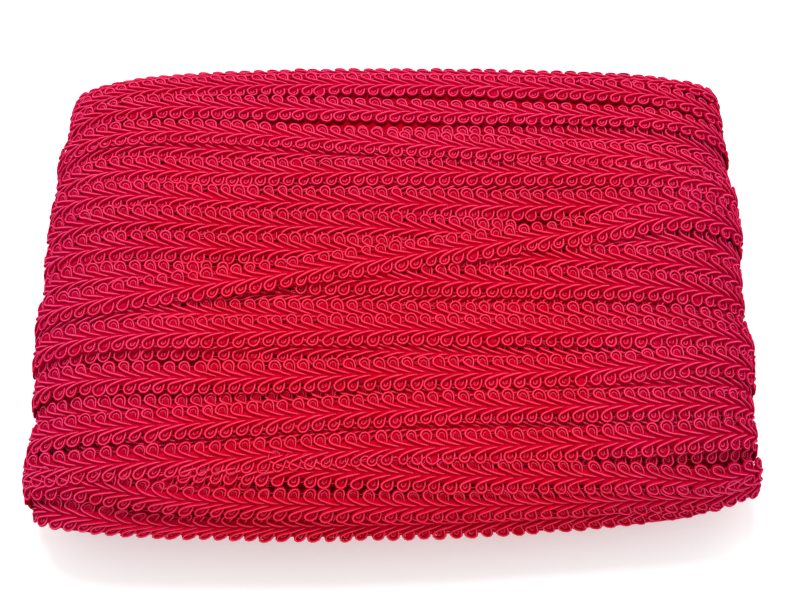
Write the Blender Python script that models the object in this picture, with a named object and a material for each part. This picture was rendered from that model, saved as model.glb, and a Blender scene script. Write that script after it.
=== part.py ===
"""Roll of gimp braid trim: one long braid wound round and round into a flat, rounded bundle.

Metres, +Z up, X along the length of the bundle. The origin is on the floor, under the middle of the
bundle's box. Every pass of the braid runs along X over the top, folds over one end, comes back under
the bundle and folds over the other end, so each pass is a closed band round the Y axis.
"""

from collections import namedtuple

import bpy
import numpy as np

# The wound form under the outermost passes, without their thickness.
HALF_LENGTH = 0.1163
HALF_DEPTH = 0.0863
TOP_Z = 0.0427
WIDEST_Z = 0.0170
BOTTOM_Z = 0.0016
PROFILE_POWER = 3.0
LEFT_ROUNDING = 0.0500
RIGHT_ROUNDING = 0.0340
END_POWER = 2.45
CORNER_TRIM = 0.0030
CORNER_TRIM_POWER = 4.0
# The back edge bows out near the middle, the front edge left of it, and the front right corner falls in.
BACK_BOW = 0.0090
BACK_BOW_CENTRE = 0.004
BACK_BOW_POWER = 3.5
FRONT_TRIM = 0.0016
FRONT_TRIM_POWER = 12.0
FRONT_BOW = 0.0060
FRONT_BOW_CENTRE = -0.045
FRONT_RIGHT_TRIM = 0.0040
FRONT_RIGHT_FROM = 0.085
FRONT_RIGHT_REACH = 0.035
BOW_REACH = 0.120
# The two front corners are rounded off near the edge.
RIGHT_CORNER_TRIM = 0.0050
RIGHT_CORNER_FROM = 0.098
RIGHT_CORNER_REACH = 0.022
LEFT_CORNER_TRIM = 0.0110
LEFT_CORNER_FROM = 0.104
LEFT_CORNER_REACH = 0.018
CORNERS_POWER = 6.0
# The front and back edges end in a narrow face, this share of the bundle's height.
EDGE_SHARE = 0.06

# The braid, half an inch wide. It nests a little into what it crosses.
BRAID_WIDTH = 0.0127
BRAID_THICKNESS = 0.0026
NESTING = 0.62
CREST_POWER = 2.5
REACH_POWER = 4.0
# The foremost pass stands off the form over the top, and flares out towards the front.
FOOT = "front_foot"
FOOT_STAND = 0.0024
FOOT_FLARE = np.radians(25.0)
FOOT_EDGE_POWER = 6.0

# Stations round each pass, and rows of points across the bundle.
TOP_STATIONS = 13
END_STATIONS = 13
BOTTOM_STATIONS = 5
ROWS = 129

# Where the middle of each pass lies, in millimetres over the top from the middle line to the back, at
# five places along the bundle. A later pass lies on an earlier one where they overlap. Its reaches are
# how far it stands out at each end.
STATION_X = (-0.112, -0.065, 0.0, 0.065, 0.112)
Pass = namedtuple("Pass", "name left near_left middle near_right right left_reach right_reach")
PASSES = (
    Pass("behind_first", 86.8, 82.3, 82.5, 81.3, 84.6, 1.4, 3.4),
    Pass("under_second", 54.7, 50.7, 47.2, 48.3, 49.6, 1.0, 1.3),
    Pass("under_third", 49.2, 43.6, 39.2, 37.2, 36.0, 1.0, 1.2),
    Pass("under_fifth", 31.0, 28.7, 28.3, 28.4, 30.4, 1.7, 1.2),
    Pass("under_ninth", -19.0, -19.7, -21.1, -22.8, -24.6, 3.0, 3.6),
    Pass("under_tenth", -35.3, -32.6, -33.8, -36.1, -37.5, 2.5, 2.1),
    Pass("under_eleventh", -53.8, -53.5, -49.2, -48.2, -49.2, 1.1, 1.3),
    Pass("under_twelfth", -68.5, -63.6, -59.6, -62.6, -65.4, -1.0, 1.0),
    Pass("under_thirteenth", -71.1, -68.9, -66.4, -70.7, -70.8, 0.6, 0.4),
    Pass("under_slope", -71.0, -73.3, -74.8, -79.6, -85.5, 1.4, 2.0),
    Pass("front_foot", -88.5, -92.2, -93.3, -95.0, -92.3, 0.0, 1.5),
    Pass("front_shoulder", -76.9, -81.7, -85.0, -88.0, -90.3, 1.2, 2.2),
    Pass("front_slope", -71.6, -71.0, -74.3, -79.4, -85.0, 1.0, 1.4),
    Pass("first", 75.8, 74.1, 73.5, 71.8, 71.6, 0.9, 3.0),
    Pass("second", 67.0, 63.1, 60.5, 58.6, 58.8, 0.0, 2.2),
    Pass("fourth", 38.0, 33.5, 32.7, 32.5, 33.2, 1.0, 2.0),
    Pass("fifth", 27.8, 22.6, 20.9, 20.2, 22.8, 1.7, 2.6),
    Pass("sixth", 16.8, 13.2, 11.4, 7.0, 7.6, 2.4, 2.9),
    Pass("seventh", 6.3, 4.1, 2.3, -0.7, -2.0, 2.9, 1.9),
    Pass("eighth", -5.4, -7.3, -8.4, -10.7, -12.6, 2.4, 1.9),
    Pass("tenth", -28.1, -27.2, -26.4, -28.4, -30.3, 2.2, 3.2),
    Pass("eleventh", -42.3, -42.6, -41.7, -42.1, -42.0, 1.8, 1.9),
    Pass("twelfth", -60.3, -57.8, -53.8, -54.8, -56.9, 0.7, 0.9),
    Pass("thirteenth", -72.2, -69.6, -66.2, -67.6, -67.8, 0.6, 0.9),
    Pass("third", 53.8, 50.3, 44.5, 40.3, 39.6, 1.0, 0.0),
    Pass("diagonal", -14.9, -10.4, -0.2, 10.1, 18.3, 3.0, 2.6),
)

MILLIMETRE = 0.001
BRAID_RED = (0.60, 0.012, 0.060, 1.0)
BRAID_ROUGHNESS = 0.55
CREASE_ANGLE = np.radians(38.0)


def clear_scene():
    for item in list(bpy.data.objects):
        bpy.data.objects.remove(item, do_unlink=True)


def braid_material():
    material = bpy.data.materials.new("braid_red")
    material.use_nodes = True
    shader = material.node_tree.nodes["Principled BSDF"]
    shader.inputs["Base Color"].default_value = BRAID_RED
    shader.inputs["Roughness"].default_value = BRAID_ROUGHNESS
    shader.inputs["Metallic"].default_value = 0.0
    return material


def half_section():
    """Over the top from front to back: arc length from the middle line, depth share, height share.

    The arc is measured over the braid that lies on the form, one thickness out from it.
    """
    angle = np.linspace(np.pi, 0.0, 1601)
    depth = np.sign(np.cos(angle)) * np.abs(np.cos(angle)) ** (2 / PROFILE_POWER)
    height = np.abs(np.sin(angle)) ** (2 / PROFILE_POWER)
    rise = TOP_Z - WIDEST_Z
    run = np.gradient(depth * HALF_DEPTH)
    climb = np.gradient(height * rise)
    outside = BRAID_THICKNESS / np.hypot(run, climb)
    outer_depth = depth * HALF_DEPTH - outside * climb
    outer_height = height * rise + outside * run
    step = np.hypot(np.diff(outer_depth), np.diff(outer_height))
    arc = np.concatenate([[0.0], np.cumsum(step)])
    return arc - arc[-1] / 2, depth, height


def stations():
    """Round one pass: the share along the flat (-1 to 1), and the angle over an end from straight up."""
    top = [(share, 0.0) for share in np.linspace(-1, 1, TOP_STATIONS)]
    turn = np.linspace(0, np.pi, END_STATIONS + 2)[1:-1]
    right = [(1.0, angle) for angle in turn]
    bottom = [(share, np.pi) for share in np.linspace(1, -1, BOTTOM_STATIONS)]
    left = [(-1.0, angle) for angle in turn[::-1]]
    return np.array(top + right + bottom + left).T


def bowed(depth_share, x):
    """Depth in metres: the edges bow out towards the middle of the length."""
    along = np.abs(x - BACK_BOW_CENTRE) / BOW_REACH
    back = HALF_DEPTH - BACK_BOW * along**BACK_BOW_POWER
    corner = np.clip((x - FRONT_RIGHT_FROM) / FRONT_RIGHT_REACH, 0, 1)
    front = HALF_DEPTH - FRONT_BOW * ((x - FRONT_BOW_CENTRE) / BOW_REACH) ** 2
    right_corner = np.clip((x - RIGHT_CORNER_FROM) / RIGHT_CORNER_REACH, 0, 1) ** 2
    left_corner = np.clip((-x - LEFT_CORNER_FROM) / LEFT_CORNER_REACH, 0, 1) ** 2
    rounded = RIGHT_CORNER_TRIM * right_corner + LEFT_CORNER_TRIM * left_corner
    front = front - FRONT_RIGHT_TRIM * corner**2 - FRONT_TRIM * np.abs(depth_share) ** FRONT_TRIM_POWER
    front = front - rounded * np.abs(depth_share) ** CORNERS_POWER
    return depth_share * np.where(depth_share > 0, back, front)


def form(rows, share, angle):
    """Points of the wound form, rows across by stations round."""
    arc, depth, height = half_section()
    depth_share = np.interp(rows, arc, depth)[:, None]
    height_share = np.maximum(np.interp(rows, arc, height), EDGE_SHARE)[:, None]
    rounding = np.where(share > 0, RIGHT_ROUNDING, LEFT_ROUNDING) * np.sqrt(height_share)
    half_length = HALF_LENGTH - CORNER_TRIM * np.abs(rows[:, None] / arc[-1]) ** CORNER_TRIM_POWER
    over = np.abs(np.sin(angle)) ** (2 / END_POWER)
    up = np.sign(np.cos(angle)) * np.abs(np.cos(angle)) ** (2 / END_POWER)
    x = share * (half_length - rounding) + np.sign(share) * rounding * over
    reach = np.where(up > 0, TOP_Z - WIDEST_Z, WIDEST_Z - BOTTOM_Z)
    z = WIDEST_Z + height_share * reach * up
    return np.stack([x, bowed(depth_share + 0 * x, x), z], axis=-1)


def spline_through(values, x):
    """A smooth curve through a pass's five places, held level past its ends."""
    places = np.array(STATION_X)
    values = np.array(values) * MILLIMETRE
    slope = np.gradient(values, places)
    slope[0] = slope[-1] = 0.0
    x = np.clip(x, places[0], places[-1])
    i = np.clip(np.searchsorted(places, x) - 1, 0, len(places) - 2)
    gap = places[i + 1] - places[i]
    t = (x - places[i]) / gap
    start = (2 * t**3 - 3 * t**2 + 1) * values[i] + (t**3 - 2 * t**2 + t) * gap * slope[i]
    end = (3 * t**2 - 2 * t**3) * values[i + 1] + (t**3 - t**2) * gap * slope[i + 1]
    return start + end


def centre_line(one_pass, share, angle):
    """Where a pass lies at each station: by its places on top, and straight from end to end below."""
    rounding = np.where(share > 0, RIGHT_ROUNDING, LEFT_ROUNDING)
    over = np.abs(np.sin(angle)) ** (2 / END_POWER)
    x = share * (HALF_LENGTH - rounding) + np.sign(share) * rounding * over
    on_top = spline_through(one_pass[1:6], x)
    left = one_pass.left * MILLIMETRE
    right = one_pass.right * MILLIMETRE
    below = left + (right - left) * (share + 1) / 2
    return np.where(np.cos(angle) > 0.01, on_top, below)


def pass_heights(rows, share, angle):
    """How far the passes stand off the form: each lies on what is under its two edges."""
    heights = np.zeros((len(rows), len(share)))
    surface = np.zeros_like(heights)
    half_width = BRAID_WIDTH / 2
    over_top = np.sqrt(np.clip(np.cos(angle), 0, 1))
    for one_pass in PASSES:
        centre = centre_line(one_pass, share, angle)
        across = (rows[:, None] - centre[None, :]) / half_width
        front_side = np.where((across > -1) & (across < 0.1), heights, 0).max(axis=0)
        back_side = np.where((across > -0.1) & (across < 1), heights, 0).max(axis=0)
        front_side = (np.roll(front_side, 1) + 2 * front_side + np.roll(front_side, -1)) / 4
        back_side = (np.roll(back_side, 1) + 2 * back_side + np.roll(back_side, -1)) / 4
        lean = (across + 1) / 2
        support = NESTING * (front_side * (1 - lean) + back_side * lean)
        crest = np.sqrt(np.clip(1 - np.abs(across) ** CREST_POWER, 0, 1))
        stand = np.zeros_like(heights)
        if one_pass.name == FOOT:
            stand = np.clip(FOOT_STAND - across * half_width * np.sin(FOOT_FLARE), 0, None) * over_top
            stand *= np.sqrt(np.clip(1 - np.abs(across) ** FOOT_EDGE_POWER, 0, 1))
        raised = support + stand / NESTING + BRAID_THICKNESS * crest
        end_reach = np.where(share > 0, one_pass.right_reach, one_pass.left_reach) * MILLIMETRE
        end_reach = end_reach * np.sin(angle) ** REACH_POWER * crest
        uppermost = (np.abs(across) < 1) & (raised > heights)
        surface = np.where(uppermost, support + stand + BRAID_THICKNESS * crest + end_reach, surface)
        heights = np.where(uppermost, raised, heights)
    return surface


def outward(points):
    """Unit normals of the form, from its rows and stations."""
    along = np.roll(points, -1, axis=1) - np.roll(points, 1, axis=1)
    across = np.gradient(points, axis=0)
    normal = np.cross(along, across)
    return normal / np.linalg.norm(normal, axis=-1, keepdims=True)


def bundle_mesh():
    """The wound bundle as one closed mesh, flat where it rests."""
    share, angle = stations()
    arc = half_section()[0]
    rows = np.linspace(arc[0], arc[-1], ROWS)
    points = form(rows, share, angle)
    points += outward(points) * pass_heights(rows, share, angle)[..., None]
    points[..., 2] = np.maximum(points[..., 2], 0.0)
    points[..., :2] -= (points[..., :2].max(axis=(0, 1)) + points[..., :2].min(axis=(0, 1))) / 2
    count = len(share)
    faces = []
    for row in range(ROWS - 1):
        for i in range(count):
            j = (i + 1) % count
            low, high = row * count, (row + 1) * count
            faces.append((low + i, low + j, high + j, high + i))
    faces.append(tuple(range(count))[::-1])
    faces.append(tuple(range((ROWS - 1) * count, ROWS * count)))
    mesh = bpy.data.meshes.new("gimp_braid_roll")
    mesh.from_pydata(points.reshape(-1, 3).tolist(), [], faces)
    mesh.validate()
    return mesh


def build():
    clear_scene()
    mesh = bundle_mesh()
    mesh.materials.append(braid_material())
    mesh.shade_smooth()
    mesh.set_sharp_from_angle(angle=CREASE_ANGLE)
    roll = bpy.data.objects.new("gimp_braid_roll", mesh)
    bpy.context.collection.objects.link(roll)


build()
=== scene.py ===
"""Roll of gimp braid trim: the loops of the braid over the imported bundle, with its camera and lights.

Metres, in the frame's own axes, where no comment says millimetres. The wound form and most rows of the
table of passes are the solid's.
"""

from collections import namedtuple

import bpy
import numpy as np
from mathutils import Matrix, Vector


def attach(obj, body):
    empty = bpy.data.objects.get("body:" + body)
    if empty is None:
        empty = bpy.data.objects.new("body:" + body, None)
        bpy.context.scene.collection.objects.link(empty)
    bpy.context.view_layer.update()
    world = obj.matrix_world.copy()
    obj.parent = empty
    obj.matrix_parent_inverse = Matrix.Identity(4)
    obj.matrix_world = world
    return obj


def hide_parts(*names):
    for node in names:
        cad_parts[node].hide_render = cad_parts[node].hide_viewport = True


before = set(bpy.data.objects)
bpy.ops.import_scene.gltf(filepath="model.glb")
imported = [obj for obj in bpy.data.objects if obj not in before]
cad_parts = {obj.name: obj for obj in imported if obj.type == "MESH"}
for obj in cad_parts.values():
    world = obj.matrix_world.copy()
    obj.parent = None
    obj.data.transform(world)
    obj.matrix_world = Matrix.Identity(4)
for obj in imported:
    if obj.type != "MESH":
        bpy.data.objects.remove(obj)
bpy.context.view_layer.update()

MILLIMETRE = 0.001
NODE = "gimp_braid_roll"

# The wound form under the outermost passes, as in the solid: its size, how its section and its two ends
# are rounded, and how its two long edges bow.
HALF_LENGTH = 0.1163
HALF_DEPTH = 0.0863
TOP_Z = 0.0427
WIDEST_Z = 0.0170
BOTTOM_Z = 0.0016
PROFILE_POWER = 3.0
LEFT_ROUNDING = 0.0500
RIGHT_ROUNDING = 0.0340
END_POWER = 2.45
CORNER_TRIM = 0.0030
CORNER_TRIM_POWER = 4.0
BACK_BOW = 0.0090
BACK_BOW_CENTRE = 0.004
BACK_BOW_POWER = 3.5
FRONT_TRIM = 0.0016
FRONT_TRIM_POWER = 12.0
FRONT_BOW = 0.0060
FRONT_BOW_CENTRE = -0.045
FRONT_RIGHT_TRIM = 0.0040
FRONT_RIGHT_FROM = 0.085
FRONT_RIGHT_REACH = 0.035
# Its two front corners are rounded off near the edge.
RIGHT_CORNER_TRIM = 0.0050
RIGHT_CORNER_FROM = 0.098
RIGHT_CORNER_REACH = 0.022
LEFT_CORNER_TRIM = 0.0110
LEFT_CORNER_FROM = 0.104
LEFT_CORNER_REACH = 0.018
CORNERS_POWER = 6.0
BOW_REACH = 0.120
EDGE_SHARE = 0.06
SECTION_POINTS = 1601

# A pass of braid: half its width, its thickness, the height and power of its rounded section, the share
# of what it lies on that lifts it, and how far past its middle each half of it is lifted too, as a share
# of half its width.
HALF_BRAID = 0.00635
BRAID_THICKNESS = 0.0026
SECTION_HEIGHT = 0.0024
SECTION_POWER = 4.0
NESTING = 0.62
SHARED_MIDDLE = 0.1
# How often the line of a pass is smoothed along it, and what it lies on.
LINE_SMOOTHINGS = 12
LIFT_SMOOTHINGS = 30
# Braid is stiff across: this much over the top and down to the middle of the ends, and less from there
# to none underneath.
STIFFNESS = 0.70
STIFFNESS_LOSS = 1.5
# How far a pass stands out over an end falls off by this power towards the top and the bottom.
REACH_POWER = 4
# The foremost pass stands off the form and flares out, over the top.
FOOT = "front_foot"
FOOT_STAND = 0.0024
FOOT_FLARE = np.radians(25.0)

# Where the middle of each pass lies, in millimetres over the top from the middle line to the back, at
# five places along the bundle, and how far it stands out over each end. A later pass lies on an earlier
# one where they overlap. A pass counts as on top until the cosine of its angle falls to TOP_UNTIL.
STATION_X = (-0.112, -0.065, 0.0, 0.065, 0.112)
TOP_UNTIL = 0.01
Pass = namedtuple("Pass", "name left near_left middle near_right right left_reach right_reach")
PASSES = (
    Pass("behind_first", 86.8, 82.3, 82.5, 81.3, 84.6, 1.4, 3.4),
    Pass("under_second", 54.7, 50.7, 47.2, 48.3, 49.6, 1.0, 1.3),
    Pass("under_third", 49.2, 43.6, 39.2, 37.2, 36.0, 1.0, 1.2),
    Pass("under_fifth", 31.0, 28.7, 28.3, 28.4, 30.4, 1.7, 1.2),
    Pass("under_ninth", -19.0, -19.7, -21.1, -22.8, -24.6, 3.0, 3.6),
    Pass("under_tenth", -31.0, -30.9, -33.4, -37.3, -38.3, 2.5, 2.1),
    Pass("under_eleventh", -53.8, -53.5, -49.2, -48.2, -49.2, 1.1, 1.3),
    Pass("under_twelfth", -68.5, -63.6, -59.6, -62.6, -65.4, -1.0, 1.0),
    Pass("under_thirteenth", -71.1, -68.9, -66.4, -70.7, -72.2, 0.6, 0.8),
    Pass("under_slope", -71.0, -73.3, -74.8, -79.6, -85.5, 1.4, 2.0),
    Pass("front_foot", -88.5, -92.2, -93.3, -95.0, -92.3, 0.0, 1.5),
    Pass("front_shoulder", -76.9, -81.7, -85.0, -88.0, -90.3, 1.2, 2.2),
    Pass("front_slope", -71.6, -71.0, -74.3, -79.4, -85.0, 1.0, 1.4),
    Pass("first", 75.8, 74.1, 73.5, 71.8, 71.6, 0.9, 3.0),
    Pass("second", 67.0, 63.1, 60.5, 58.6, 58.8, 0.0, 2.2),
    Pass("fourth", 38.0, 33.5, 32.7, 32.5, 33.2, 1.0, 2.0),
    Pass("fifth", 27.8, 22.6, 20.9, 20.2, 22.8, 1.7, 2.6),
    Pass("sixth", 16.8, 13.2, 11.4, 7.0, 7.6, 2.4, 2.9),
    Pass("seventh", 6.3, 4.1, 2.3, -0.7, -2.0, 2.9, 1.9),
    Pass("eighth", -5.2, -7.0, -8.0, -10.1, -12.1, 2.4, 1.9),
    Pass("tenth", -28.1, -27.2, -26.4, -28.4, -30.3, 2.2, 3.2),
    Pass("eleventh", -42.3, -42.6, -41.7, -42.1, -40.5, 1.8, 1.9),
    Pass("twelfth", -60.3, -57.8, -53.8, -54.8, -56.9, 0.7, 0.9),
    Pass("thirteenth", -72.2, -69.6, -66.2, -67.6, -67.8, 0.6, 0.9),
    Pass("third", 53.8, 50.3, 44.5, 40.3, 39.6, 1.0, 0.0),
    Pass("diagonal", -14.9, -10.4, -0.2, 10.1, 18.3, 3.0, 2.6),
)
# A pass deeper in the bundle that shows only in the gap in front of "eighth", and how far it is sunk
# into the form. No pass rests on it.
DEEP_PASS = Pass("deep", -12.6, -12.6, -12.4, -13.2, -15.4, 2.6, 2.6)
DEEP_SUNK = 1.1 * MILLIMETRE
# The pieces, and the passes in each.
GROUPS = (
    ("under_passes_back", ("behind_first", "under_second", "under_third", "under_fifth", "under_ninth")),
    (
        "under_passes_front",
        ("under_tenth", "under_eleventh", "under_twelfth", "under_thirteenth", "under_slope"),
    ),
    ("passes_back", ("first", "second", "third")),
    ("passes_upper", ("fourth", "fifth", "sixth")),
    ("passes_middle", ("seventh", "eighth", "diagonal")),
    ("passes_lower", ("tenth", "eleventh", "twelfth")),
    ("passes_front", ("thirteenth", "front_slope")),
    ("passes_foot", ("front_shoulder", "front_foot")),
)

# One loop of the braid, in millimetres: along the pass, out from its middle line, up, and the cord's
# radius. The cord comes up beside the middle, turns over the edge, and its tail lies along the middle
# to the right. The curl lies inside the loop's ring.
Bend = namedtuple("Bend", "along out up radius")
LOOP = (
    Bend(1.84, 0.90, 0.35, 0.50),
    Bend(1.78, 2.30, 0.80, 0.51),
    Bend(1.72, 3.55, 1.02, 0.51),
    Bend(1.34, 4.80, 1.12, 0.51),
    Bend(0.12, 5.52, 1.16, 0.51),
    Bend(-1.16, 5.04, 1.22, 0.52),
    Bend(-1.72, 3.90, 1.32, 0.54),
    Bend(-1.42, 2.90, 1.44, 0.57),
    Bend(-0.30, 2.20, 1.54, 0.59),
    Bend(1.40, 1.52, 1.58, 0.60),
    Bend(3.00, 0.98, 1.52, 0.59),
    Bend(4.40, 0.62, 1.30, 0.54),
    Bend(5.70, 0.40, 0.88, 0.46),
)
CURL = (
    Bend(0.85, 2.50, 0.62, 0.38),
    Bend(0.80, 3.50, 0.88, 0.40),
    Bend(0.46, 4.20, 0.97, 0.40),
    Bend(-0.12, 4.42, 0.99, 0.40),
    Bend(-0.66, 4.06, 0.97, 0.40),
    Bend(-0.74, 3.40, 0.89, 0.40),
    Bend(-0.36, 2.75, 0.78, 0.38),
)
# The padding inside each ring, in millimetres: radii along and out, and its height at the rim and in
# the middle.
Pad = namedtuple("Pad", "along out rim top")
RING_PAD = Pad(1.45, 1.55, 0.84, 1.34)
PAD_SIDES = 8
# The distance from loop to loop, how far the lower edge's loops are shifted, as a share of it, and how
# far a ring's middle lies from the middle of the pass, in millimetres.
PITCH = 4.83 * MILLIMETRE
LOWER_PHASE = 0.45
RING_OUT = 3.9
# The thin thread along each edge: its radius, its sides, and how high it lies in the open and where
# another pass lies over it.
THREAD_RADIUS = 0.20 * MILLIMETRE
THREAD_SIDES = 3
THREAD_UP = 0.90 * MILLIMETRE
THREAD_SUNK = -0.4 * MILLIMETRE
# The smooth web along the middle that the tails sink into, in millimetres: out from the middle, and up.
WEB = ((-2.9, 0.4), (2.9, 0.4), (2.3, 1.08), (1.2, 1.32), (0.0, 1.38), (-1.2, 1.32), (-2.3, 1.08))
# How much loops differ: size, radius and pads by a share, tilt in radians, and the rest in millimetres.
# Shift and radius hold for a whole loop. The rest grow from none at RING_FROM, out from the middle of
# the pass, to their full size RING_SPAN farther out.
SIZE_SPREAD = 0.07
TILT_SPREAD = 0.14
SHIFT_SPREAD = 0.20
SWAY_SPREAD = 0.14
LIFT_SPREAD = 0.08
RADIUS_SPREAD = 0.05
PAD_SPREAD = 0.06
RING_FROM = 1.0
RING_SPAN = 2.0
# Random draws: the step of the seed from pass to pass and from region to region of a pass, and the
# inner layers' first seed.
PASS_SEEDS = 100
REGION_SEEDS = 10
LAYER_SEEDS = 1000

# The cord's map: millimetres along the cord, and turns round it. The web and the pads lie on it wholly
# beside the crest, clear of the painted highlight there: the web from WEB_FROM over WEB_SPAN, in quads
# with this order of corners, and a pad from its rim to its top.
CORD_MAP = "CordMap"
WEB_FROM = 0.60
WEB_SPAN = 0.25
WEB_STEP = 0.5
PAD_RIM_AT = 0.40
PAD_TOP_AT = 0.36
UNIT_QUAD = np.array([[0, 0], [1, 0], [1, 1], [0, 1]])
# The dye, at its deepest and its palest, and which mix of fine and broad blotches and of the fine thread
# wrapped round the cord makes it so. WRAPS is how many there are to the millimetre.
DYE_DEEP = (0.42, 0.0002, 0.010, 1)
DYE_PALE = (0.51, 0.0010, 0.020, 1)
DEEP_AT = 0.30
PALE_AT = 0.72
FINE_BLOTCHES = {"Scale": 260.0, "Detail": 3.0, "Roughness": 0.6}
BROAD_BLOTCHES = {"Scale": 22.0, "Detail": 2.0}
FINE_SHARE = 0.6
BROAD_SHARE = 0.4
WRAPS = 3.6
WRAP_SHARE = 0.05
WRAP_BUMP = {"Strength": 0.35, "Distance": 0.00004}
# A painted highlight, pale pink, along the crest of the cord: where it is and how far it spreads to each
# side, in turns round the cord, how strong it is besides its blotches, and how far round the curls' cord
# it is turned.
CREST_AT = 0.25
CREST_SPREAD = 0.092
CREST_HIGHLIGHT_BASE = 0.33
CURL_TURNED = 0.08
CREST_HIGHLIGHT_COLOUR = (1.0, 0.095, 0.190, 1)
# A painted cool cast of light over the dye, growing towards the two ends and the back: from where to
# where.
COOL_END_FROM = 0.050
COOL_END_TO = 0.118
COOL_BACK_FROM = -0.010
COOL_BACK_TO = 0.085
COOL_BACK = 0.80
PAINTED_COOL_CAST = (0.86, 1.25, 1.75, 1)
# The cord is dull, and light soaks a little way into it, red light farthest.
CORD_ROUGHNESS = 0.45
SOAK = 0.4
SOAK_BY_COLOUR = (1.0, 0.10, 0.15)
SOAK_DEPTH = 0.0010
# The inner turns in the gaps: knobs of braid, higher in their middles, darker than the cord as painted
# shade, darkest between the knobs as painted shade in the creases, and as dull as the floor.
INNER_PALE = (0.45, 0.0005, 0.012, 1)
INNER_PAINTED_SHADE = (0.20, 0.0002, 0.004, 1)
INNER_KNOBS = {"Scale": 420.0}
INNER_BUMP = {"Strength": 0.8, "Distance": 0.0006}
DULL_ROUGHNESS = 0.8

# How fine the cord is in each region of a pass, and on the inner layers: segments along it, and sides
# round it. The regions meet at two angles over the end of the bundle, in radians from straight up.
Fineness = namedtuple("Fineness", "segments sides curl_segments curl_sides")
ABOVE = Fineness(17, 6, 6, 4)
AROUND = Fineness(15, 6, 4, 4)
BELOW = Fineness(7, 3, 0, 0)
EDGE_ON = Fineness(10, 4, 0, 0)
ABOVE_UNTIL = 1.15
BELOW_FROM = 2.3
# A loop is left out where later passes lie over its ring and its tail: over a place when their middle is
# within HIDDEN_WITHIN of it, or within DOUBLED_WITHIN of the loop's own pass. The tail is looked for
# this far ahead of the ring, and at this share of its distance out.
HIDDEN_WITHIN = 3.4 * MILLIMETRE
DOUBLED_WITHIN = 1.8 * MILLIMETRE
TAIL_AHEAD = 4.0 * MILLIMETRE
TAIL_SHARE = 0.25

# The edges of the inner layers along the two long sides: how many, how far apart, how far the first lies
# from the middle of the side, and how deep their middles lie.
SIDE_LAYERS = 6
LAYER_SPACING = 2.4 * MILLIMETRE
FIRST_LAYER = 1.3 * MILLIMETRE
LAYER_SUNK = 4.6 * MILLIMETRE
# How far the wound form steps back behind them, from how far off the middle of the side, and over what
# reach.
SIDE_RECESS = 3.0 * MILLIMETRE
RECESS_FROM = 16.0 * MILLIMETRE
RECESS_REACH = 3.0 * MILLIMETRE
# The wound form's own skin lies this far under the passes, and takes every so many rows and stations of
# the form. Where no pass is near, this weight holds it to the form.
SKIN_SUNK = 0.0002
SKIN_ROW_STEP = 8
SKIN_STATION_STEP = 3
FORM_WEIGHT = 1e-6

# How finely the form is worked out: stations along each face and round each end, and rows across. It
# is read up to just short of the last row.
FLAT_STATIONS = 120
TURN_STATIONS = 78
ROWS = 401
LAST_ROW = ROWS - 1.001

# The bundle's box is centred over the frame's origin, as the solid's is.
CENTRING = 0.0014

# A pale floor that glows a little, a white surround, and two soft round lights aimed at the origin.
FLOOR_HALF = 3.0
FLOOR_COLOUR = (0.93, 0.93, 0.93, 1)
FLOOR_GLOW = 0.25
WHITE = (1, 1, 1, 1)
SURROUND = 0.93
Lamp = namedtuple("Lamp", "name place size power")
LAMPS = (
    Lamp("key", (-0.10, 0.50, 1.1), 0.50, 12.5),
    Lamp("fill", (0.4, -0.9, 1.1), 1.2, 0.5),
)
# The camera of the photograph: its elevation, and its focal length in pixels of a picture this wide.
CAMERA_PLACE = (0.0023, -0.21925, 0.485)
CAMERA_ELEVATION = np.radians(65.0)
FOCAL_PIXELS = 1481.0
PICTURE_WIDTH = 800
SENSOR_WIDTH = 36.0
NEAREST = 0.01


def half_section():
    """Over the top from front to back: arc length from the middle line, depth share, height share.

    The arc is measured over the braid that lies on the form, one thickness out from it.
    """
    angle = np.linspace(np.pi, 0.0, SECTION_POINTS)
    depth = np.sign(np.cos(angle)) * np.abs(np.cos(angle)) ** (2 / PROFILE_POWER)
    height = np.abs(np.sin(angle)) ** (2 / PROFILE_POWER)
    rise = TOP_Z - WIDEST_Z
    run = np.gradient(depth * HALF_DEPTH)
    climb = np.gradient(height * rise)
    outside = BRAID_THICKNESS / np.hypot(run, climb)
    outer_depth = depth * HALF_DEPTH - outside * climb
    outer_height = height * rise + outside * run
    step = np.hypot(np.diff(outer_depth), np.diff(outer_height))
    arc = np.concatenate([[0.0], np.cumsum(step)])
    return arc - arc[-1] / 2, depth, height


def stations():
    """Round one pass: the share along the flat (-1 to 1), and the angle over an end from straight up."""
    flat = np.linspace(-1, 1, FLAT_STATIONS)
    turn = np.linspace(0, np.pi, TURN_STATIONS + 2)[1:-1]
    side = np.ones(TURN_STATIONS)
    share = np.concatenate([flat, side, -flat, -side])
    angle = np.concatenate([0 * flat, turn, 0 * flat + np.pi, turn[::-1]])
    return share, angle


def bowed(depth_share, x):
    """Depth in metres: the edges bow out towards the middle of the length."""
    along = np.abs(x - BACK_BOW_CENTRE) / BOW_REACH
    back = HALF_DEPTH - BACK_BOW * along**BACK_BOW_POWER
    corner = np.clip((x - FRONT_RIGHT_FROM) / FRONT_RIGHT_REACH, 0, 1)
    front = HALF_DEPTH - FRONT_BOW * ((x - FRONT_BOW_CENTRE) / BOW_REACH) ** 2
    right_corner = np.clip((x - RIGHT_CORNER_FROM) / RIGHT_CORNER_REACH, 0, 1) ** 2
    left_corner = np.clip((-x - LEFT_CORNER_FROM) / LEFT_CORNER_REACH, 0, 1) ** 2
    rounded = RIGHT_CORNER_TRIM * right_corner + LEFT_CORNER_TRIM * left_corner
    front = front - FRONT_RIGHT_TRIM * corner**2 - FRONT_TRIM * np.abs(depth_share) ** FRONT_TRIM_POWER
    front = front - rounded * np.abs(depth_share) ** CORNERS_POWER
    return depth_share * np.where(depth_share > 0, back, front)


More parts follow.
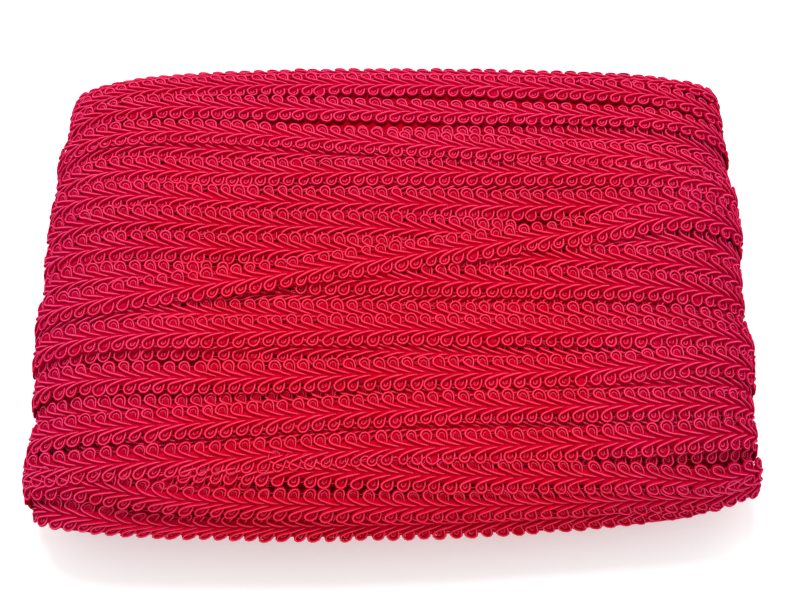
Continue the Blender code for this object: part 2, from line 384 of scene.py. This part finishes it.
def form(rows, share, angle):
    """Points of the wound form, rows across by stations round."""
    arc, depth, height = half_section()
    depth_share = np.interp(rows, arc, depth)[:, None]
    height_share = np.maximum(np.interp(rows, arc, height), EDGE_SHARE)[:, None]
    rounding = np.where(share > 0, RIGHT_ROUNDING, LEFT_ROUNDING) * np.sqrt(height_share)
    half_length = HALF_LENGTH - CORNER_TRIM * np.abs(rows[:, None] / arc[-1]) ** CORNER_TRIM_POWER
    over = np.abs(np.sin(angle)) ** (2 / END_POWER)
    up = np.sign(np.cos(angle)) * np.abs(np.cos(angle)) ** (2 / END_POWER)
    x = share * (half_length - rounding) + np.sign(share) * rounding * over
    reach = np.where(up > 0, TOP_Z - WIDEST_Z, WIDEST_Z - BOTTOM_Z)
    z = WIDEST_Z + height_share * reach * up
    return np.stack([x, bowed(depth_share + 0 * x, x), z], axis=-1)


def curve_between(t, gap, first, last, first_slope, last_slope):
    """A smooth curve over a gap from one value to the next, with t going from 0 to 1."""
    start = (2 * t**3 - 3 * t**2 + 1) * first + (t**3 - 2 * t**2 + t) * gap * first_slope
    end = (3 * t**2 - 2 * t**3) * last + (t**3 - t**2) * gap * last_slope
    return start + end


def spline_through(values, x):
    """A smooth curve through a pass's five places, held level past its ends."""
    places = np.array(STATION_X)
    values = np.array(values) * MILLIMETRE
    slope = np.gradient(values, places)
    slope[0] = slope[-1] = 0.0
    x = np.clip(x, places[0], places[-1])
    i = np.clip(np.searchsorted(places, x) - 1, 0, len(places) - 2)
    gap = places[i + 1] - places[i]
    t = (x - places[i]) / gap
    return curve_between(t, gap, values[i], values[i + 1], slope[i], slope[i + 1])


def centre_line(one_pass, share, angle):
    """Where a pass lies at each station: by its places on top, and straight from end to end below."""
    rounding = np.where(share > 0, RIGHT_ROUNDING, LEFT_ROUNDING)
    over = np.abs(np.sin(angle)) ** (2 / END_POWER)
    x = share * (HALF_LENGTH - rounding) + np.sign(share) * rounding * over
    places = (one_pass.left, one_pass.near_left, one_pass.middle, one_pass.near_right, one_pass.right)
    on_top = spline_through(places, x)
    left = one_pass.left * MILLIMETRE
    right = one_pass.right * MILLIMETRE
    below = left + (right - left) * (share + 1) / 2
    return np.where(np.cos(angle) > TOP_UNTIL, on_top, below)


def smooth_round(values, times):
    """Values round a pass, smoothed along it."""
    for _ in range(times):
        values = (np.roll(values, 1) + 2 * values + np.roll(values, -1)) / 4
    return values


def outward(points):
    """Unit normals of the form, from its rows and stations."""
    along = np.roll(points, -1, axis=1) - np.roll(points, 1, axis=1)
    across = np.gradient(points, axis=0)
    normal = np.cross(along, across)
    return normal / np.linalg.norm(normal, axis=-1, keepdims=True)


SHARE, ANGLE = stations()
COUNT = len(SHARE)
EDGE = half_section()[0][-1]
ROW_AT = np.linspace(-EDGE, EDGE, ROWS)
FORM = form(ROW_AT, SHARE, ANGLE)
NORMAL = outward(FORM)
ACROSS = np.gradient(FORM, axis=0)
ACROSS /= np.linalg.norm(ACROSS, axis=-1, keepdims=True)
STIFF = STIFFNESS * np.clip(1 + STIFFNESS_LOSS * np.cos(ANGLE), 0, 1)


def read_grid(grid, across, round_at):
    """The grid's values at places across and round, past the edges on the other face."""
    past = np.abs(across) > EDGE
    across = np.where(past, np.sign(across) * 2 * EDGE - across, across)
    mirrored = 2 * FLAT_STATIONS + TURN_STATIONS - 1 - round_at
    round_at = np.where(past, mirrored, round_at) % COUNT
    row_at = np.clip((across + EDGE) / (2 * EDGE) * (ROWS - 1), 0, LAST_ROW)
    row = row_at.astype(int)
    here = round_at.astype(int) % COUNT
    ahead = (here + 1) % COUNT
    up = (row_at - row)[..., None]
    on = (round_at - np.floor(round_at))[..., None]
    low = grid[row, here] * (1 - on) + grid[row, ahead] * on
    high = grid[row + 1, here] * (1 - on) + grid[row + 1, ahead] * on
    return low * (1 - up) + high * up


# A pass at each station: its middle, its length so far, what its front and back edges rest on, how far
# it stands out and flares, and how stiff it is.
Laid = namedtuple("Laid", "name centre length front back reach flare stiff")


def length_round(centre):
    """The length of a pass from its first station to each, and all the way round."""
    middle = read_grid(FORM, centre, np.arange(COUNT, dtype=float))
    step = np.linalg.norm(np.roll(middle, -1, axis=0) - middle, axis=1)
    return np.concatenate([[0.0], np.cumsum(step)])


def end_reach(one_pass):
    """How far a pass stands out over the ends."""
    reach = np.where(SHARE > 0, one_pass.right_reach, one_pass.left_reach) * MILLIMETRE
    return reach * np.sin(ANGLE) ** REACH_POWER


def lay_passes():
    """Each pass's middle, length round and what its two edges rest on, from the lowest to the topmost."""
    heights = np.zeros((ROWS, COUNT))
    laid = []
    for one_pass in PASSES:
        centre = smooth_round(centre_line(one_pass, SHARE, ANGLE), LINE_SMOOTHINGS)
        as_foot = np.sqrt(np.clip(np.cos(ANGLE), 0, 1)) * (one_pass.name == FOOT)
        across = (ROW_AT[:, None] - centre[None, :]) / HALF_BRAID
        front = np.where((across > -1) & (across < SHARED_MIDDLE), heights, 0).max(axis=0)
        back = np.where((across > -SHARED_MIDDLE) & (across < 1), heights, 0).max(axis=0)
        front = smooth_round(front, LIFT_SMOOTHINGS)
        back = smooth_round(back, LIFT_SMOOTHINGS)
        lean = (across + 1) / 2
        support = NESTING * (front * (1 - lean) + back * lean)
        section = np.sqrt(np.clip(1 - np.abs(across) ** SECTION_POWER, 0, 1))
        # What lies on the foot is lifted by all that the foot stands off, and not by its nesting share.
        stand = np.clip(FOOT_STAND - across * HALF_BRAID * np.sin(FOOT_FLARE), 0, None) * as_foot
        raised = support + stand / NESTING + SECTION_HEIGHT * section
        heights = np.where(np.abs(across) < 1, np.maximum(heights, raised), heights)
        length = length_round(centre)
        reach = end_reach(one_pass) + FOOT_STAND * as_foot
        flare = FOOT_FLARE * as_foot
        stiff = STIFF + (1 - STIFF) * as_foot
        laid.append(Laid(one_pass.name, centre, length, front, back, reach, flare, stiff))
    return laid


def deep_pass():
    """The deeper pass, laid on the form alone and sunk into it."""
    centre = smooth_round(centre_line(DEEP_PASS, SHARE, ANGLE), LINE_SMOOTHINGS)
    level = np.zeros(COUNT)
    reach = end_reach(DEEP_PASS) - DEEP_SUNK
    return Laid(DEEP_PASS.name, centre, length_round(centre), level, level, reach, level, STIFF)


def side_layers(side):
    """The inner layers whose edges stand out of a long side: side is 1 at the back, -1 at the front."""
    laid = []
    for number in range(SIDE_LAYERS):
        row = side * (EDGE - FIRST_LAYER - number * LAYER_SPACING)
        centre = np.full(COUNT, row)
        level = np.zeros(COUNT)
        sunk = level - LAYER_SUNK
        upright = level + np.pi / 2
        rigid = level + 1
        laid.append(Laid("layer", centre, length_round(centre), level, level, sunk, upright, rigid))
    return laid


def round_value(values, round_at):
    """Values round a pass read between its stations."""
    here = np.floor(round_at).astype(int) % COUNT
    on = round_at - np.floor(round_at)
    return values[here] * (1 - on) + values[(here + 1) % COUNT] * on


def station_at(laid, distance):
    """The station, as a fraction, at a distance along a pass."""
    total = laid.length[-1]
    return np.interp(distance % total, laid.length, np.arange(COUNT + 1, dtype=float))


def loop_places(laid, phase):
    """Distances along a pass, one to each loop of an edge, evenly spread and shifted by a phase."""
    total = laid.length[-1]
    number = round(total / PITCH)
    return (np.arange(number) + phase) * total / number


def on_pass(laid, distance, out, up):
    """Points and normals at places on a pass: metres along it, out from its middle, and up."""
    round_at = station_at(laid, distance)
    centre = round_value(laid.centre, round_at)
    bent = read_grid(FORM, centre + out, round_at)
    bent_normal = read_grid(NORMAL, centre + out, round_at)
    normal = read_grid(NORMAL, centre, round_at)
    beside = read_grid(ACROSS, centre, round_at)
    flare = (round_value(laid.flare, round_at) * np.sign(centre))[..., None]
    flat = read_grid(FORM, centre, round_at)
    flat = flat + (beside * np.cos(flare) + normal * np.sin(flare)) * out[..., None]
    flat_normal = normal * np.cos(flare) - beside * np.sin(flare)
    stiff = round_value(laid.stiff, round_at)[..., None]
    place = bent + (flat - bent) * stiff
    facing = bent_normal + (flat_normal - bent_normal) * stiff
    facing /= np.linalg.norm(facing, axis=-1, keepdims=True)
    lean = np.clip((out / HALF_BRAID + 1) / 2, 0, 1)
    under = round_value(laid.front, round_at) * (1 - lean) + round_value(laid.back, round_at) * lean
    reach = round_value(laid.reach, round_at)
    return place + normal * (NESTING * under + reach)[..., None] + facing * up[..., None], facing


def through(bends, segments):
    """A smooth curve through a loop's bends: along, out, up and radius in millimetres."""
    knots = np.array(bends)
    gap = np.linalg.norm(np.diff(knots[:, :3], axis=0), axis=1)
    at = np.concatenate([[0.0], np.cumsum(gap)])
    slope = np.gradient(knots, at, axis=0)
    distance = np.linspace(0, at[-1], segments + 1)
    i = np.clip(np.searchsorted(at, distance, side="right") - 1, 0, len(at) - 2)
    gap = (at[i + 1] - at[i])[:, None]
    t = (distance - at[i])[:, None] / gap
    return curve_between(t, gap, knots[i], knots[i + 1], slope[i], slope[i + 1])


class Shape:
    """Gathers the forms of one piece into a mesh, with the cord's map."""

    def __init__(self):
        self.points = []
        self.corners = []
        self.sizes = []
        self.maps = []
        self.count = 0

    def add_points(self, points):
        """Adds points, and gives the first one's number."""
        first = self.count
        self.points.append(points.reshape(-1, 3))
        self.count += points.size // 3
        return first

    def add_faces(self, corners, size, maps):
        """Adds faces that have one number of corners: the points' numbers, and their places on the map."""
        self.corners.append(corners.reshape(-1))
        self.sizes.append(np.full(corners.size // size, size))
        self.maps.append(maps.reshape(-1, 2))

    def add_caps(self, caps, size):
        """Adds end faces, which have no place on the map."""
        for cap in caps:
            self.add_faces(cap, size, np.zeros((cap.size, 2)))

    def tubes(self, centres, radii, up, sides, closed=False, turned=0.0):
        """Adds cords: centres (cords, places, 3), radii and the outward direction at each place.

        The map is turned round the cord by a share of a turn.
        """
        cords, places = centres.shape[:2]
        if closed:
            tangent = np.roll(centres, -1, axis=1) - np.roll(centres, 1, axis=1)
        else:
            tangent = np.gradient(centres, axis=1)
        tangent /= np.linalg.norm(tangent, axis=-1, keepdims=True)
        side = np.cross(tangent, up)
        side /= np.linalg.norm(side, axis=-1, keepdims=True)
        top = np.cross(side, tangent)
        turn = 2 * np.pi * (np.arange(sides) + 0.5) / sides
        offset = np.cos(turn)[:, None] * side[..., None, :] + np.sin(turn)[:, None] * top[..., None, :]
        start = self.add_points(centres[..., None, :] + radii[..., None, None] * offset)
        step = np.linalg.norm(np.diff(centres, axis=1), axis=-1) / MILLIMETRE
        along = np.concatenate([np.zeros((cords, 1)), np.cumsum(step, axis=1)], axis=1)
        spans = places if closed else places - 1
        cord, place, k = np.meshgrid(np.arange(cords), np.arange(spans), np.arange(sides), indexing="ij")
        following = (place + 1) % places
        beside = (k + 1) % sides

        def index(p, s):
            return start + (cord * places + p) * sides + s

        corners = (index(place, k), index(place, beside), index(following, beside), index(following, k))
        u0 = along[cord, place]
        u1 = along[cord, following] if not closed else u0 + along[0, 1]
        v0 = (k + 0.5) / sides + turned
        v1 = (k + 1.5) / sides + turned
        pairs = ((u0, v0), (u0, v1), (u1, v1), (u1, v0))
        maps = np.stack([np.stack(pair, -1) for pair in pairs], -2)
        self.add_faces(np.stack(corners, -1), 4, maps)
        if not closed:
            base = start + np.arange(cords)[:, None] * places * sides
            first = base + np.arange(sides)[::-1]
            last = base + (places - 1) * sides + np.arange(sides)
            self.add_caps((first, last), sides)

    def fans(self, points, turn_sign):
        """Adds low domes: (domes, rim places and then the middle, 3), with the rim turning by the sign."""
        domes, places = points.shape[:2]
        start = self.add_points(points)
        k = np.arange(places - 1)
        beside = (k + 1) % (places - 1)
        rim = np.stack([k, beside] if turn_sign > 0 else [beside, k], -1)
        faces = np.concatenate([rim, np.full((places - 1, 1), places - 1)], axis=1)
        corners = start + np.arange(domes)[:, None, None] * places + faces
        turn = 2 * np.pi * k / len(k)
        flat = np.stack([np.cos(turn), PAD_RIM_AT + 0 * turn], -1)
        flat = np.concatenate([flat, [[0.0, PAD_TOP_AT]]])
        self.add_faces(corners, 3, np.tile(flat[faces], (domes, 1, 1, 1)))

    def grid(self, points, uv):
        """Adds a skin of rows by stations, closed round the stations, with its two ends filled."""
        rows, count = points.shape[:2]
        start = self.add_points(points)
        row, k = np.meshgrid(np.arange(rows - 1), np.arange(count), indexing="ij")
        beside = (k + 1) % count
        low = row * count
        high = (row + 1) * count
        quads = np.stack([low + k, low + beside, high + beside, high + k], -1)
        self.add_faces(start + quads, 4, uv.reshape(-1, 2)[quads])
        first = start + np.arange(count)[::-1]
        last = start + (rows - 1) * count + np.arange(count)
        self.add_caps((first, last), count)

    def band(self, rings):
        """Adds the web: a section carried round a pass and closed: (stations, section, 3)."""
        number, sides = rings.shape[:2]
        start = self.add_points(rings)
        place, k = np.meshgrid(np.arange(number), np.arange(sides), indexing="ij")
        here = place * sides
        ahead = (place + 1) % number * sides
        beside = (k + 1) % sides
        quads = np.stack([here + k, ahead + k, ahead + beside, here + beside], -1)
        corner = np.stack([place * WEB_STEP, WEB_FROM + k * WEB_SPAN / sides], -1)
        maps = corner[..., None, :] + UNIT_QUAD * [WEB_STEP, WEB_SPAN / sides]
        self.add_faces(start + quads, 4, maps)

    def build(self, name, material):
        """Makes the piece: centred, and with nothing below the floor."""
        points = np.concatenate(self.points)
        points[:, 1] += CENTRING
        points[:, 2] = np.maximum(points[:, 2], 0.0)
        corners = np.concatenate(self.corners)
        sizes = np.concatenate(self.sizes)
        starts = np.concatenate([[0], np.cumsum(sizes)[:-1]])
        mesh = bpy.data.meshes.new(name)
        mesh.vertices.add(len(points))
        mesh.vertices.foreach_set("co", points.astype(np.float32).reshape(-1))
        mesh.loops.add(len(corners))
        mesh.loops.foreach_set("vertex_index", corners.astype(np.int32))
        mesh.polygons.add(len(sizes))
        mesh.polygons.foreach_set("loop_start", starts.astype(np.int32))
        mesh.update(calc_edges=True)
        uv = mesh.uv_layers.new(name=CORD_MAP)
        uv.data.foreach_set("uv", np.concatenate(self.maps).astype(np.float32).reshape(-1))
        mesh.validate()
        mesh.shade_smooth()
        mesh.materials.append(material)
        piece = bpy.data.objects.new(name, mesh)
        bpy.context.collection.objects.link(piece)
        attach(piece, "root")
        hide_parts(NODE)


def new_material(name):
    """A material, its nodes and its shader, which has no shine."""
    material = bpy.data.materials.new(name)
    material.use_nodes = True
    tree = material.node_tree
    shader = tree.nodes["Principled BSDF"]
    shader.inputs["Specular IOR Level"].default_value = 0.0
    return material, tree, shader


def node(tree, kind, values, name, link_from):
    """A shader node with its plain inputs set and the named one linked."""
    made = tree.nodes.new(kind)
    for plain, value in values.items():
        made.inputs[plain].default_value = value
    tree.links.new(link_from, made.inputs[name])
    return made


def maths(tree, operation, first, second):
    """The result of an operation on two inputs, each a number or another node's output."""
    made = tree.nodes.new("ShaderNodeMath")
    made.operation = operation
    for socket, value in zip(made.inputs, (first, second)):
        if hasattr(value, "is_linked"):
            tree.links.new(value, socket)
        else:
            socket.default_value = value
    return made.outputs[0]


def share_between(tree, value, low, high):
    """The value's share of the way from low to high, held between 0 and 1."""
    made = tree.nodes.new("ShaderNodeMapRange")
    tree.links.new(value, made.inputs["Value"])
    made.inputs["From Min"].default_value = low
    made.inputs["From Max"].default_value = high
    return made.outputs["Result"]


def colour_between(tree, value, low, high, low_at=0.0, high_at=1.0):
    """The colour between two, by a value."""
    ramp = tree.nodes.new("ShaderNodeValToRGB")
    first, last = ramp.color_ramp.elements
    first.position = low_at
    first.color = low
    last.position = high_at
    last.color = high
    tree.links.new(value, ramp.inputs["Fac"])
    return ramp.outputs["Color"]


def blended(tree, kind, share, first, colour):
    """A colour blended by a share with a plain one."""
    made = tree.nodes.new("ShaderNodeMix")
    made.data_type = "RGBA"
    made.blend_type = kind
    tree.links.new(share, made.inputs["Factor"])
    tree.links.new(first, made.inputs["A"])
    made.inputs["B"].default_value = colour
    return made.outputs["Result"]


def wrapped(tree, along, turns):
    """A wave that climbs round the cord, as the fine thread wrapped round it does."""
    lean = maths(tree, "ADD", maths(tree, "MULTIPLY", along, WRAPS), turns)
    return maths(tree, "SINE", maths(tree, "MULTIPLY", lean, 2 * np.pi), 0.0)


def dyed(tree, place, fine, wave):
    """The dye, a little uneven."""
    broad = node(tree, "ShaderNodeTexNoise", BROAD_BLOTCHES, "Vector", place).outputs["Fac"]
    fine_part = maths(tree, "MULTIPLY", fine, FINE_SHARE)
    blotches = maths(tree, "ADD", fine_part, maths(tree, "MULTIPLY", broad, BROAD_SHARE))
    shade = maths(tree, "ADD", blotches, maths(tree, "MULTIPLY", wave, WRAP_SHARE))
    return colour_between(tree, shade, DYE_DEEP, DYE_PALE, DEEP_AT, PALE_AT)


def painted_crest_highlight(tree, turns, fine):
    """How much painted highlight lies on the cord: along its crest, and uneven in blotches."""
    around = maths(tree, "ABSOLUTE", maths(tree, "SUBTRACT", turns, CREST_AT), 0.0)
    off_crest = maths(tree, "DIVIDE", around, CREST_SPREAD)
    crest = maths(tree, "SUBTRACT", 1.0, maths(tree, "MINIMUM", off_crest, 1.0))
    soft_crest = maths(tree, "MULTIPLY", crest, crest)
    return maths(tree, "MULTIPLY", soft_crest, maths(tree, "ADD", fine, CREST_HIGHLIGHT_BASE))


def painted_cool_share(tree, place):
    """How strong the painted cool cast of light is: more so towards the two ends and the back."""
    spot = node(tree, "ShaderNodeSeparateXYZ", {}, "Vector", place)
    from_middle = maths(tree, "ABSOLUTE", spot.outputs["X"], 0.0)
    end_share = share_between(tree, from_middle, COOL_END_FROM, COOL_END_TO)
    back_share = share_between(tree, spot.outputs["Y"], COOL_BACK_FROM, COOL_BACK_TO)
    return maths(tree, "MAXIMUM", end_share, maths(tree, "MULTIPLY", back_share, COOL_BACK))


def cord_material():
    """Spun cord wrapped in fine thread: uneven dye, a painted highlight on its crest, a painted cool cast.
    """
    material, tree, shader = new_material("braid_cord")
    mapped = tree.nodes.new("ShaderNodeUVMap")
    mapped.uv_map = CORD_MAP
    parts = node(tree, "ShaderNodeSeparateXYZ", {}, "Vector", mapped.outputs["UV"])
    wave = wrapped(tree, parts.outputs["X"], parts.outputs["Y"])
    place = tree.nodes.new("ShaderNodeTexCoord").outputs["Object"]
    fine = node(tree, "ShaderNodeTexNoise", FINE_BLOTCHES, "Vector", place).outputs["Fac"]
    dye = dyed(tree, place, fine, wave)
    # Mix a painted highlight, pale pink, along the crest of the cord.
    colour = blended(tree, "MIX", painted_crest_highlight(tree, parts.outputs["Y"], fine), dye, CREST_HIGHLIGHT_COLOUR)
    # A painted cool cast of light, bluer towards the ends and the back.
    cast_colour = blended(tree, "MULTIPLY", painted_cool_share(tree, place), colour, PAINTED_COOL_CAST)
    tree.links.new(cast_colour, shader.inputs["Base Color"])
    bump = node(tree, "ShaderNodeBump", WRAP_BUMP, "Height", wave)
    tree.links.new(bump.outputs["Normal"], shader.inputs["Normal"])
    shader.inputs["Roughness"].default_value = CORD_ROUGHNESS
    shader.inputs["Subsurface Weight"].default_value = SOAK
    shader.inputs["Subsurface Radius"].default_value = SOAK_BY_COLOUR
    shader.inputs["Subsurface Scale"].default_value = SOAK_DEPTH
    return material


def inner_material():
    """The inner turns that show in the gaps, darkened as painted shade, most between their knobs."""
    material, tree, shader = new_material("inner_turns")
    place = tree.nodes.new("ShaderNodeTexCoord").outputs["Object"]
    from_knob = node(tree, "ShaderNodeTexVoronoi", INNER_KNOBS, "Vector", place).outputs["Distance"]
    # Painted shade: the knobs darken from their middles to their edges.
    colour = colour_between(tree, from_knob, INNER_PALE, INNER_PAINTED_SHADE)
    tree.links.new(colour, shader.inputs["Base Color"])
    bump = node(tree, "ShaderNodeBump", INNER_BUMP, "Height", from_knob)
    bump.invert = True
    tree.links.new(bump.outputs["Normal"], shader.inputs["Normal"])
    shader.inputs["Roughness"].default_value = DULL_ROUGHNESS
    return material


def jittered(curve, rng, cords, out_sign):
    """Copies of a loop's curve, each a little different, in metres: along, out, up and radius."""
    shape = np.repeat(curve[None], cords, axis=0).copy()
    size = rng.normal(1.0, SIZE_SPREAD, (cords, 1))
    tall = rng.normal(1.0, SIZE_SPREAD, (cords, 1))
    tilt = rng.normal(0.0, TILT_SPREAD, (cords, 1))
    shift = rng.normal(0.0, SHIFT_SPREAD, (cords, 1))
    sway = rng.normal(0.0, SWAY_SPREAD, (cords, 1))
    lift = rng.normal(0.0, LIFT_SPREAD, (cords, 1))
    ring = np.clip((shape[..., 1] - RING_FROM) / RING_SPAN, 0, 1)
    along = shape[..., 0]
    out = shape[..., 1] - RING_OUT
    turned_along = along * np.cos(tilt) - out * np.sin(tilt)
    turned_out = along * np.sin(tilt) + out * np.cos(tilt)
    new_along = along + ring * (turned_along * size - along) + shift
    new_out = RING_OUT + out + ring * (turned_out * size * tall - out) + sway * ring
    shape[..., 0] = new_along
    shape[..., 1] = new_out * out_sign
    shape[..., 2] += lift * ring
    shape[..., 3] *= rng.normal(1.0, RADIUS_SPREAD, (cords, 1))
    return shape * MILLIMETRE


def hidden(index, all_laid, distance, out):
    """True where later passes lie over a loop, at its ring and at its tail ahead."""
    laid = all_laid[index]
    covered = np.ones(len(distance), bool)
    for ahead, out_there in ((0.0, out), (TAIL_AHEAD, out * TAIL_SHARE)):
        round_at = station_at(laid, distance + ahead)
        centre = round_value(laid.centre, round_at)
        over = np.zeros(len(distance), bool)
        for other in all_laid[index + 1 :]:
            aside = centre - round_value(other.centre, round_at)
            over |= (np.abs(aside + out_there) < HIDDEN_WITHIN) | (np.abs(aside) < DOUBLED_WITHIN)
        covered &= over
    return covered


def add_cords(shape, laid, distance, bends, segments, sides, out_sign, seed, turned=0.0):
    """Lays one kind of cord on a pass at each distance, with its map turned by a share of a turn."""
    if not len(distance):
        return
    rng = np.random.default_rng(seed)
    local = jittered(through(bends, segments), rng, len(distance), out_sign)
    centres, normal = on_pass(laid, distance[:, None] + local[..., 0], local[..., 1], local[..., 2])
    shape.tubes(centres, local[..., 3], normal, sides, turned=turned)


def add_pass(shape, index, all_laid):
    """All the loops of one pass: upper and lower, with the curl inside each ring."""
    laid = all_laid[index]
    for out_sign, phase in ((1, 0.0), (-1, LOWER_PHASE)):
        distance = loop_places(laid, phase)
        out = out_sign * RING_OUT * MILLIMETRE
        distance = distance[~hidden(index, all_laid, distance, out)]
        angle = round_value(ANGLE, station_at(laid, distance))
        regions = (
            (angle < ABOVE_UNTIL, ABOVE),
            ((angle >= ABOVE_UNTIL) & (angle <= BELOW_FROM), AROUND),
            (angle > BELOW_FROM, BELOW),
        )
        for region, (chosen, fine) in enumerate(regions):
            at = distance[chosen]
            seed = index * PASS_SEEDS + region * REGION_SEEDS + (out_sign > 0)
            add_cords(shape, laid, at, LOOP, fine.segments, fine.sides, out_sign, seed)
            if fine.curl_segments:
                add_cords(
                    shape, laid, at, CURL, fine.curl_segments, fine.curl_sides, out_sign, seed, CURL_TURNED
                )
                add_pads(shape, laid, at, out_sign, seed)


def add_pads(shape, laid, distance, out_sign, seed):
    """A low dome of braid inside each ring, under its curl."""
    rng = np.random.default_rng(seed)
    turn = 2 * np.pi * np.arange(PAD_SIDES) / PAD_SIDES
    size = rng.normal(1.0, PAD_SPREAD, (len(distance), 1))
    along = np.concatenate([RING_PAD.along * np.cos(turn), [0.0]]) * size
    out = np.concatenate([RING_PAD.out * np.sin(turn), [0.0]]) * size + RING_OUT
    up = np.concatenate([np.full(PAD_SIDES, RING_PAD.rim), [RING_PAD.top]]) + 0 * size
    at = distance[:, None] + along * MILLIMETRE
    points = on_pass(laid, at, out_sign * out * MILLIMETRE, up * MILLIMETRE)[0]
    shape.fans(points, out_sign)


def add_threads(shape, index, all_laid):
    """The thin thread along each edge, sunk where another pass lies over it, and the web between."""
    laid = all_laid[index]
    distance = loop_places(laid, 0.0)
    number = len(distance)
    radii = np.full((1, number), THREAD_RADIUS)
    for out_sign in (1, -1):
        out = np.full(number, out_sign * RING_OUT * MILLIMETRE)
        up = np.where(hidden(index, all_laid, distance, out), THREAD_SUNK, THREAD_UP)
        centres, normal = on_pass(laid, distance, out, up)
        shape.tubes(centres[None], radii, normal[None], THREAD_SIDES, closed=True)
    add_web(shape, laid, distance)


def add_web(shape, laid, distance):
    """The web along the middle of a pass, from a section at each distance."""
    number = len(distance)
    rings = []
    for out, up in WEB:
        out_at = np.full(number, out * MILLIMETRE)
        rings.append(on_pass(laid, distance, out_at, np.full(number, up * MILLIMETRE))[0])
    shape.band(np.stack(rings, axis=1))


def add_layer(shape, laid, side, number):
    """One inner layer on edge: its outer loops, and its web behind them."""
    distance = loop_places(laid, number * LOWER_PHASE)
    seed = LAYER_SEEDS + number
    add_cords(shape, laid, distance, LOOP, EDGE_ON.segments, EDGE_ON.sides, side, seed)
    add_web(shape, laid, distance)


def sides(material):
    """The edges of the inner layers, along the back and the front."""
    for name, side in (("side_layers_back", 1), ("side_layers_front", -1)):
        shape = Shape()
        for number, laid in enumerate(side_layers(side)):
            add_layer(shape, laid, side, number)
        shape.build(name, material)


def reaches(all_laid):
    """How far the wound form stands out over its ends, as the passes on it do."""
    total = np.zeros((ROWS, COUNT))
    weights = np.full((ROWS, COUNT), FORM_WEIGHT)
    for laid in all_laid:
        weight = np.exp(-(((ROW_AT[:, None] - laid.centre[None, :]) / HALF_BRAID) ** 2))
        total += weight * laid.reach[None, :]
        weights += weight
    return total / weights


def inner_turns(material, all_laid):
    """The wound form itself, seen only through the gaps, set back along its long sides."""
    from_edge = EDGE - np.abs(ROW_AT[:, None])
    recess = SIDE_RECESS * np.clip((RECESS_FROM - from_edge) / RECESS_REACH, 0, 1)
    lift = reaches(all_laid) - SKIN_SUNK - recess
    skin = (FORM + NORMAL * lift[..., None])[::SKIN_ROW_STEP, ::SKIN_STATION_STEP]
    rows = ROW_AT[::SKIN_ROW_STEP] / MILLIMETRE
    places = np.arange(skin.shape[1], dtype=float)
    uv = np.stack(np.broadcast_arrays(rows[:, None], places[None, :]), -1)
    shape = Shape()
    shape.grid(skin, uv)
    shape.build("inner_turns", material)


def add_piece(name, material, indices, order):
    """A piece of one or more passes, in the order in which all of them lie."""
    shape = Shape()
    for index in indices:
        add_pass(shape, index, order)
        add_threads(shape, index, order)
    shape.build(name, material)


def braid(material, all_laid):
    """Every pass, a few to a piece, and the deeper pass under them all."""
    names = [laid.name for laid in all_laid]
    for name, members in GROUPS:
        add_piece(name, material, [names.index(member) for member in members], all_laid)
    add_piece("deep_pass", material, [0], [deep_pass(), *all_laid])


def floor():
    """The pale floor."""
    corners = [(x * FLOOR_HALF, y * FLOOR_HALF, 0) for x, y in ((-1, -1), (1, -1), (1, 1), (-1, 1))]
    mesh = bpy.data.meshes.new("floor")
    mesh.from_pydata(corners, [], [(0, 1, 2, 3)])
    plane = bpy.data.objects.new("floor", mesh)
    bpy.context.collection.objects.link(plane)
    material = bpy.data.materials.new("pale_floor")
    material.use_nodes = True
    shader = material.node_tree.nodes["Principled BSDF"]
    shader.inputs["Base Color"].default_value = FLOOR_COLOUR
    shader.inputs["Roughness"].default_value = DULL_ROUGHNESS
    shader.inputs["Emission Color"].default_value = WHITE
    shader.inputs["Emission Strength"].default_value = FLOOR_GLOW
    mesh.materials.append(material)


def area_light(lamp):
    """A soft round light aimed at the origin."""
    light = bpy.data.lights.new(lamp.name, "AREA")
    light.shape = "DISK"
    light.size = lamp.size
    light.energy = lamp.power
    made = bpy.data.objects.new(lamp.name, light)
    made.location = lamp.place
    made.rotation_euler = (-Vector(lamp.place)).to_track_quat("-Z", "Y").to_euler()
    bpy.context.collection.objects.link(made)


def lights():
    """The white surround, the lights, and plain colours."""
    world = bpy.data.worlds.new("studio")
    bpy.context.scene.world = world
    world.use_nodes = True
    background = world.node_tree.nodes["Background"]
    background.inputs["Color"].default_value = WHITE
    background.inputs["Strength"].default_value = SURROUND
    for lamp in LAMPS:
        area_light(lamp)
    bpy.context.scene.view_settings.view_transform = "Standard"
    bpy.context.scene.view_settings.look = "None"


def camera():
    """The photograph's camera."""
    data = bpy.data.cameras.new("camera")
    data.sensor_width = SENSOR_WIDTH
    data.lens = FOCAL_PIXELS / PICTURE_WIDTH * SENSOR_WIDTH
    data.clip_start = NEAREST
    made = bpy.data.objects.new("camera", data)
    made.location = CAMERA_PLACE
    made.rotation_euler = (np.pi / 2 - CAMERA_ELEVATION, 0, 0)
    bpy.context.collection.objects.link(made)
    bpy.context.scene.camera = made


camera()
lights()
floor()
LAID = lay_passes()
CORD = cord_material()
inner_turns(inner_material(), LAID)
braid(CORD, LAID)
sides(CORD)
